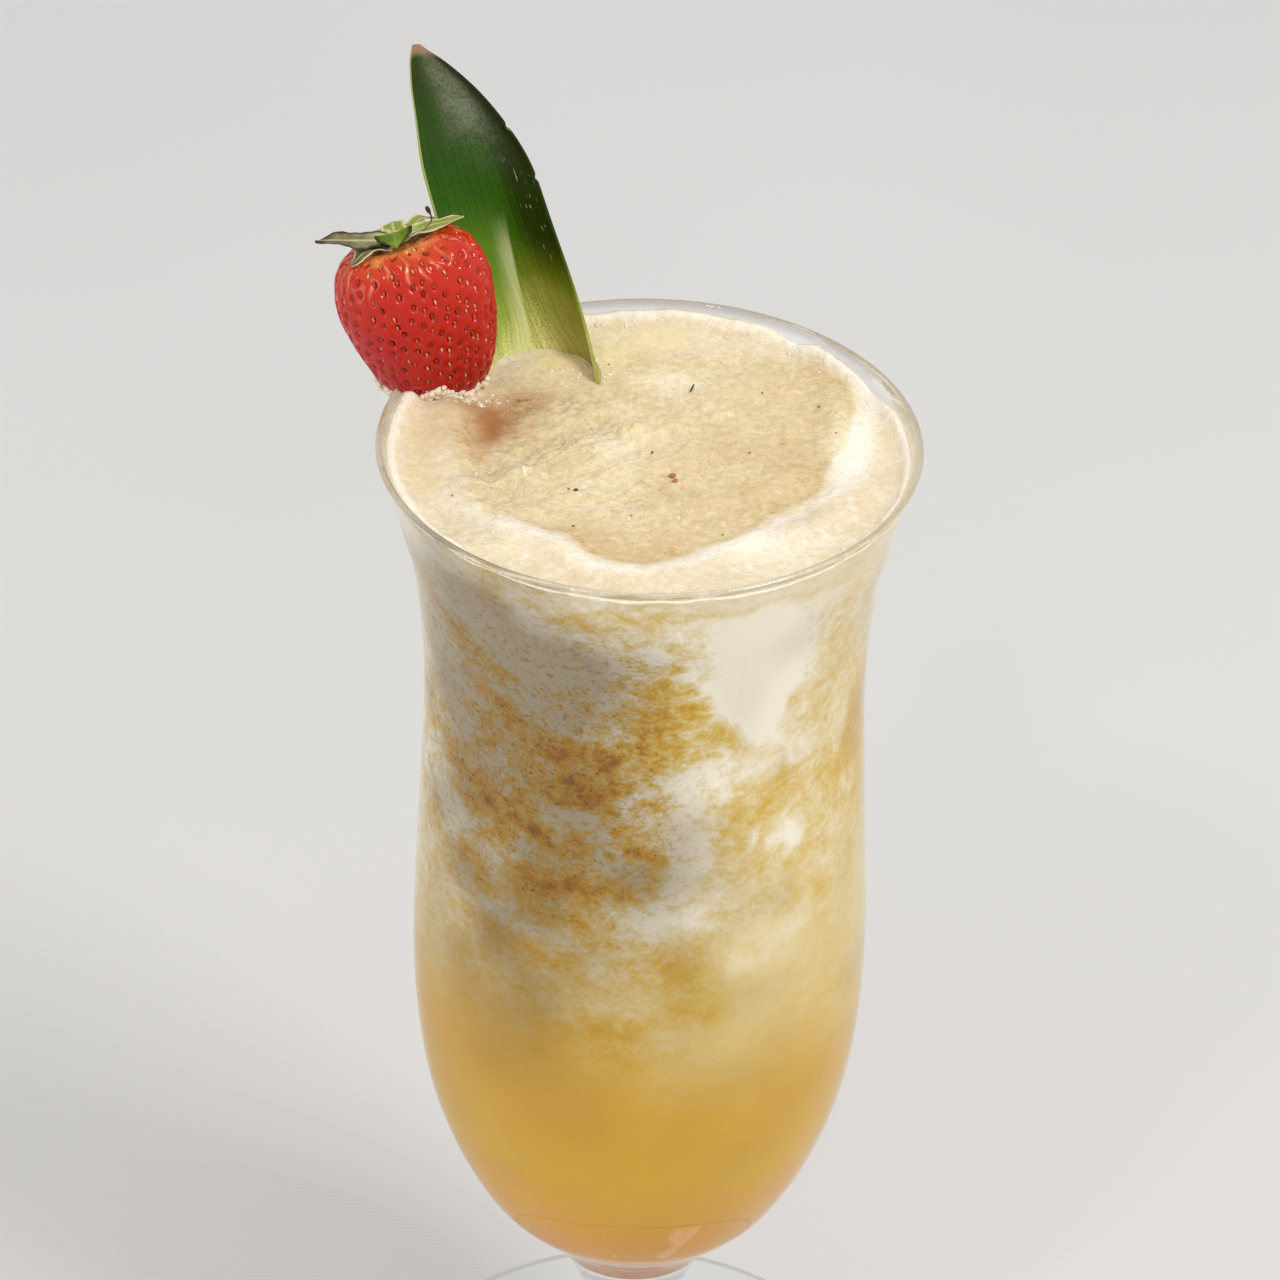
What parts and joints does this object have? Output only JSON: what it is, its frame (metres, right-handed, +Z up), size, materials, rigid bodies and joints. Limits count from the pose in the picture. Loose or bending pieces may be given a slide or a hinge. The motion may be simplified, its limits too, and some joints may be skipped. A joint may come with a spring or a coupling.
{
  "type": "pineapple smoothie in a footed glass",
  "caption": "Tall footed hurricane glass filled with a marbled pineapple smoothie and froth, with a strawberry on the rim and a pineapple leaf standing in it.",
  "frame": {"origin": "centre of the foot's flat underside, on the glass's axis", "axes": "+Z up along the glass's axis; -Y toward the side the picture shows; +X to the right of that view, so the strawberry and the leaf are at -X, +Y"},
  "size_m": [0.0921, 0.0853, 0.2349],
  "materials": {
    "clear_glass": "clear, polished",
    "froth": "moist foam, cream to tan, marbled with amber",
    "juice": "cloudy amber juice",
    "strawberry_red": "wet red skin with seeds in dimples",
    "calyx_green": "dry green and brown leaf",
    "leaf_green": "waxy dark green leaf with a grey bloom"
  },
  "bodies": {
    "root": {"glass": "clear_glass", "juice": "juice", "froth": "froth", "strawberry": "strawberry_red", "calyx": "calyx_green", "pineapple_leaf": "leaf_green"}
  },
  "joints": []
}
